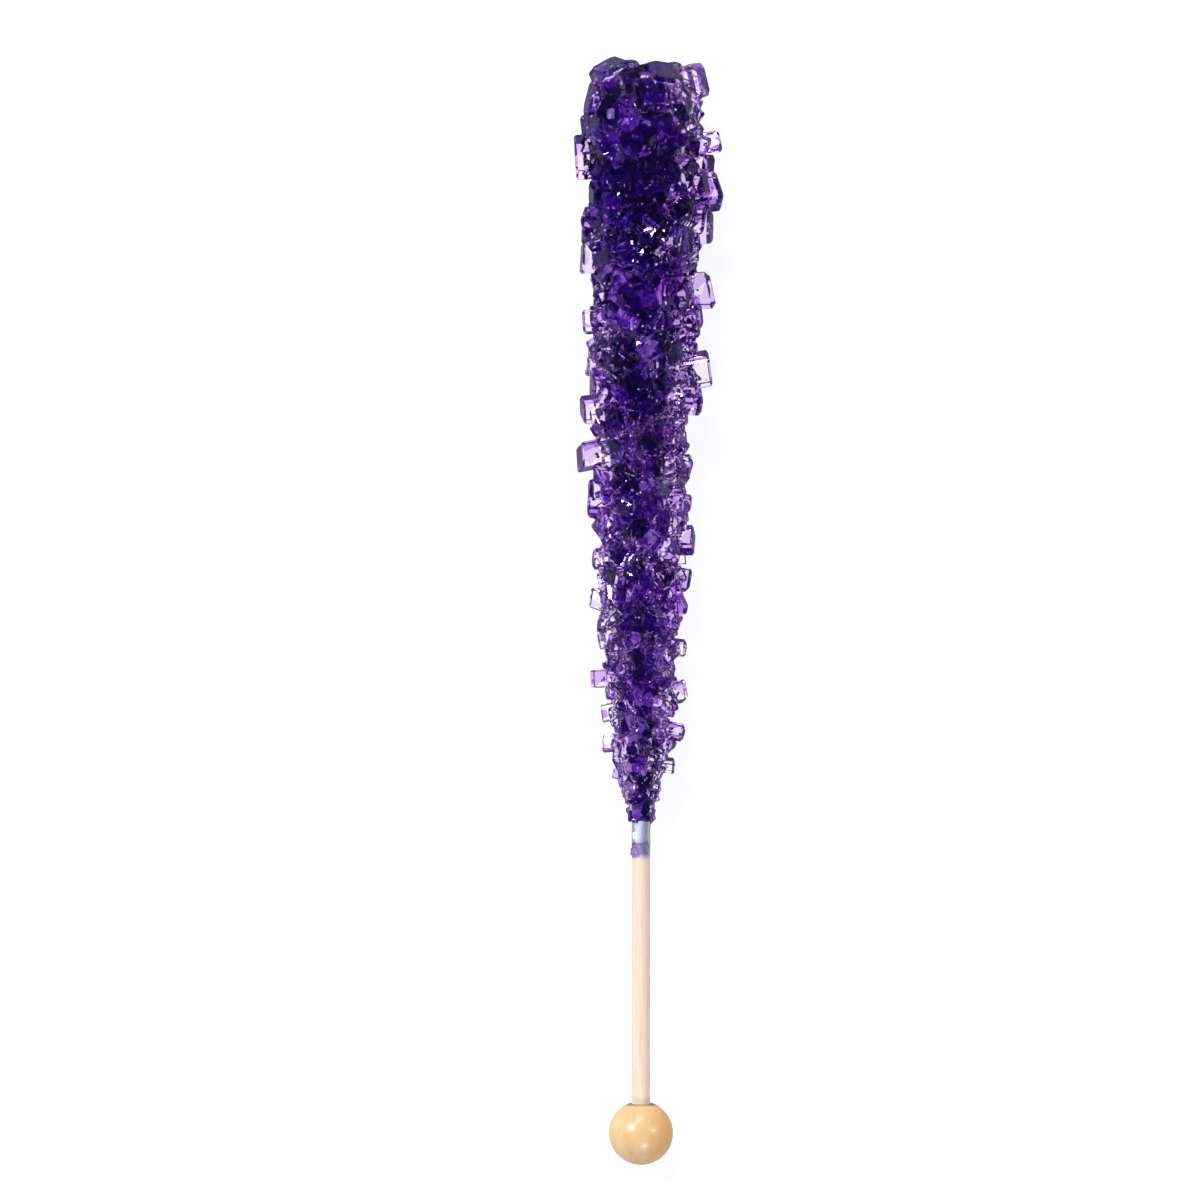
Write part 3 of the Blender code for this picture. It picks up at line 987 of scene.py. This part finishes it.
def litPaper():
    # Matte paper lit from below, dimmer in mirror reflections so that facets keep their depth
    made, tree, shader = newFinish("paper", {
        "Base Color": (studio["floorShade"],) * 3 + (1,), "Roughness": 0.9,
        "Emission Color": (1, 1, 1, 1),
    })
    light = addNode(tree, "ShaderNodeLightPath", {})
    mirrored = addNode(tree, "ShaderNodeMath", {
        0: light.outputs["Is Reflection Ray"], 1: light.outputs["Is Glossy Ray"],
    }, operation="MULTIPLY")
    glow = addNode(tree, "ShaderNodeMapRange", {
        "Value": mirrored.outputs[0], "To Min": studio["floorGlow"], "To Max": studio["floorMirrored"],
    })
    seen = addNode(tree, "ShaderNodeMapRange", {
        "Value": light.outputs["Is Camera Ray"],
        "To Min": glow.outputs["Result"], "To Max": studio["floorSeen"],
    })
    tree.links.new(seen.outputs["Result"], shader.inputs["Emission Strength"])
    return made


floorMesh.materials.append(litPaper())


def surroundings():
    # Dim all round, so that facets stay deep, with a pale backdrop where the room is seen directly
    world = bpy.data.worlds.new("studio")
    world.use_nodes = True
    tree = world.node_tree
    dim = tree.nodes["Background"]
    dim.inputs["Strength"].default_value = 1.0
    dim.inputs["Color"].default_value = (*studio["surround"], 1)
    pale = addNode(tree, "ShaderNodeBackground", {
        "Color": (1, 1, 1, 1), "Strength": studio["backdrop"],
    })
    seen = addNode(tree, "ShaderNodeLightPath", {}).outputs["Is Camera Ray"]
    either = addNode(tree, "ShaderNodeMixShader", {0: seen, 1: dim.outputs[0], 2: pale.outputs[0]})
    tree.links.new(either.outputs[0], tree.nodes["World Output"].inputs["Surface"])
    scene.world = world


def softbox(name, direction, width, length, share):
    # A rectangle of even light that faces the stick's middle
    light = bpy.data.lights.new(name, "AREA")
    light.shape, light.size, light.size_y = "RECTANGLE", width, length
    light.energy = studio["lamp"] * share * math.pi * width * length
    lamp = linked(name, light)
    way = Vector(direction).normalized()
    lamp.location = way * studio["lampDistance"]
    lamp.rotation_euler = way.to_track_quat("Z", "Y").to_euler()


surroundings()
for boxName, boxBuild in softboxes.items():
    softbox(boxName, *boxBuild)
say("floor and light")

# The camera looks straight down, with the candy's tip at the top

view = {
    "width": 192.7,  # what is seen across at the stick's height
    "height": 1500.0,
    "stickHeight": 9.0,
    "fromBall": (-6.6, 85.8),  # the point that it looks at
    "sensor": 36.0,
    "farthest": 10.0,  # metres
}
lens = bpy.data.cameras.new("camera")
lens.sensor_width = view["sensor"]
lens.lens = view["sensor"] * (view["height"] - view["stickHeight"]) / view["width"]
lens.clip_end = view["farthest"]
camera = linked("camera", lens)
cameraX, cameraY = ballCentre[:2] + view["fromBall"]
camera.location = (cameraX * mm, cameraY * mm, view["height"] * mm)
scene.camera = camera

scene.view_settings.view_transform = "Standard"
scene.cycles.max_bounces = studio["bounces"]
scene.cycles.transmission_bounces = studio["bounces"]
scene.cycles.glossy_bounces = studio["mirrorBounces"]
say("scene ready")
